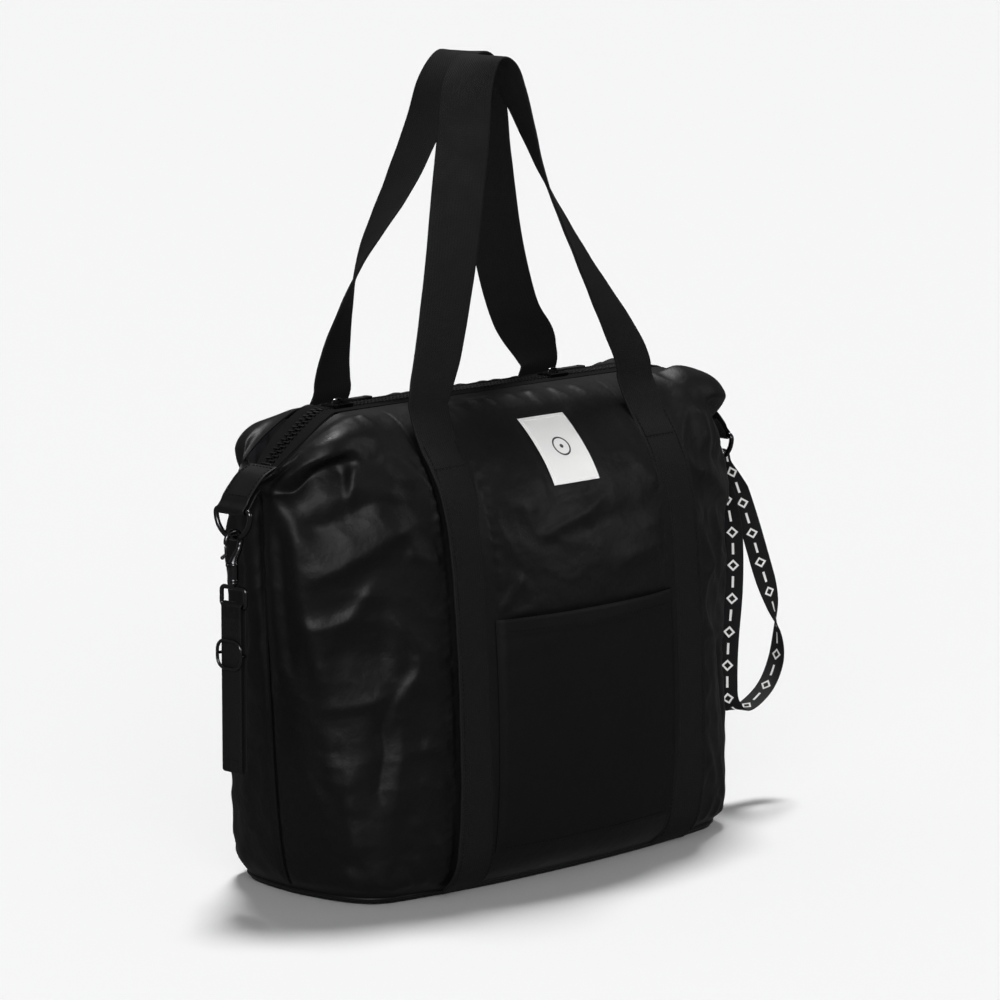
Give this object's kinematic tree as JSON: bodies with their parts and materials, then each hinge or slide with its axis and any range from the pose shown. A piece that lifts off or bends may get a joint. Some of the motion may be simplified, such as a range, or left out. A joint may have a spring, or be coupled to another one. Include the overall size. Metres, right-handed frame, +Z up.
{
  "type": "baby changing tote bag",
  "caption": "Soft zip-top nappy changing tote with webbing carry handles, front slip pocket, end rings with clip straps and a wrist lanyard.",
  "frame": {"origin": "middle of the base, on the surface that the bag stands on", "axes": "+X along the bag towards the end with the lanyard, -Y out of the front with the pocket and the label, +Z up"},
  "size_m": [0.5724, 0.238, 0.5949],
  "materials": {
    "satin_nylon": "black satin-faced nylon, soft sheen",
    "lining": "dark grey plain lining",
    "board": "dark grey sheet",
    "webbing": "black ribbed nylon webbing",
    "zip_tape": "black woven tape",
    "zip_teeth": "gunmetal",
    "dark_metal": "gunmetal plating",
    "faux_leather": "black smooth grain",
    "label": "white, plain",
    "lanyard_tape": "black jacquard tape with a plain white pattern"
  },
  "bodies": {
    "bag": {"front_panel": "satin_nylon", "back_panel": "satin_nylon", "front_lining": "lining", "back_lining": "lining", "base_panel": "satin_nylon", "base_board": "board", "front_strap_left": "webbing", "front_strap_right": "webbing", "back_strap_left": "webbing", "back_strap_right": "webbing", "front_zip_tape": "zip_tape", "back_zip_tape": "zip_tape", "front_zip_teeth": "zip_teeth", "back_zip_teeth": "zip_teeth", "zip_stop_left": "dark_metal", "zip_stop_right": "dark_metal", "end_tab_left": "faux_leather", "end_tab_right": "faux_leather", "front_pocket": "satin_nylon", "inner_pocket": "lining", "label": "label"},
    "front_handle": {"front_handle": "webbing"},
    "back_handle": {"back_handle": "webbing"},
    "slider_left": {"slider_left": "dark_metal"},
    "puller_left": {"puller_left": "dark_metal"},
    "slider_right": {"slider_right": "dark_metal"},
    "puller_right": {"puller_right": "dark_metal"},
    "d_ring_left": {"d_ring_left": "dark_metal"},
    "hook_left": {"hook_left": "dark_metal"},
    "trigger_left": {"trigger_left": "dark_metal"},
    "swivel_left": {"swivel_left": "dark_metal", "stroller_strap_left": "webbing"},
    "adjuster_left": {"adjuster_left": "dark_metal"},
    "d_ring_right": {"d_ring_right": "dark_metal"},
    "hook_right": {"hook_right": "dark_metal"},
    "trigger_right": {"trigger_right": "dark_metal"},
    "swivel_right": {"swivel_right": "dark_metal", "stroller_strap_right": "webbing"},
    "adjuster_right": {"adjuster_right": "dark_metal"},
    "lanyard": {"lanyard": "lanyard_tape"}
  },
  "joints": [
    {"name": "front_handle_swing", "type": "hinge", "parent": "bag", "child": "front_handle", "pos_m": [0, -0.0512, 0.3385], "axis": [1, 0, 0], "range_deg": [0, 125]},
    {"name": "back_handle_swing", "type": "hinge", "parent": "bag", "child": "back_handle", "pos_m": [0, 0.0512, 0.3385], "axis": [-1, 0, 0], "range_deg": [0, 125]},
    {"name": "zip_left_slide", "type": "slide", "parent": "bag", "child": "slider_left", "axis": [1, 0, 0], "range_m": [0, 0.08]},
    {"name": "puller_left_flip", "type": "hinge", "parent": "slider_left", "child": "puller_left", "pos_m": [-0.15, 0, 0.3535], "axis": [0, -1, 0], "range_deg": [0, 165]},
    {"name": "zip_right_slide", "type": "slide", "parent": "bag", "child": "slider_right", "axis": [1, 0, 0], "range_m": [-0.085, 0.07]},
    {"name": "puller_right_flip", "type": "hinge", "parent": "slider_right", "child": "puller_right", "pos_m": [0.072, 0, 0.3535], "axis": [0, -1, 0], "range_deg": [0, 165]},
    {"name": "d_ring_left_swing", "type": "hinge", "parent": "bag", "child": "d_ring_left", "pos_m": [-0.252, 0, 0.287], "axis": [0, 1, 0], "range_deg": [0, 90]},
    {"name": "hook_left_swing", "type": "hinge", "parent": "d_ring_left", "child": "hook_left", "pos_m": [-0.252, 0, 0.267], "axis": [0, 1, 0], "range_deg": [0, 60]},
    {"name": "trigger_left_press", "type": "hinge", "parent": "hook_left", "child": "trigger_left", "pos_m": [-0.2582, 0, 0.2509], "axis": [0, 1, 0], "range_deg": [0, 25], "stiffness_Nm_per_rad": 0.02},
    {"name": "swivel_left_turn", "type": "hinge", "parent": "hook_left", "child": "swivel_left", "pos_m": [-0.252, 0, 0.234], "axis": [0, 0, 1], "continuous": true},
    {"name": "adjuster_left_slide", "type": "slide", "parent": "swivel_left", "child": "adjuster_left", "axis": [0, 0, 1], "range_m": [-0.06, 0.015]},
    {"name": "d_ring_right_swing", "type": "hinge", "parent": "bag", "child": "d_ring_right", "pos_m": [0.252, 0, 0.287], "axis": [0, -1, 0], "range_deg": [0, 90]},
    {"name": "hook_right_swing", "type": "hinge", "parent": "d_ring_right", "child": "hook_right", "pos_m": [0.252, 0.006, 0.268], "axis": [0, -1, 0], "range_deg": [0, 60]},
    {"name": "trigger_right_press", "type": "hinge", "parent": "hook_right", "child": "trigger_right", "pos_m": [0.2582, 0.006, 0.2526], "axis": [0, -1, 0], "range_deg": [0, 25], "stiffness_Nm_per_rad": 0.02},
    {"name": "swivel_right_turn", "type": "hinge", "parent": "hook_right", "child": "swivel_right", "pos_m": [0.252, 0.006, 0.2357], "axis": [0, 0, 1], "continuous": true},
    {"name": "adjuster_right_slide", "type": "slide", "parent": "swivel_right", "child": "adjuster_right", "axis": [0, 0, 1], "range_m": [-0.06, 0.015]},
    {"name": "lanyard_swing", "type": "hinge", "parent": "d_ring_right", "child": "lanyard", "pos_m": [0.252, -0.008, 0.269], "axis": [0, -1, 0], "range_deg": [0, 60]}
  ]
}
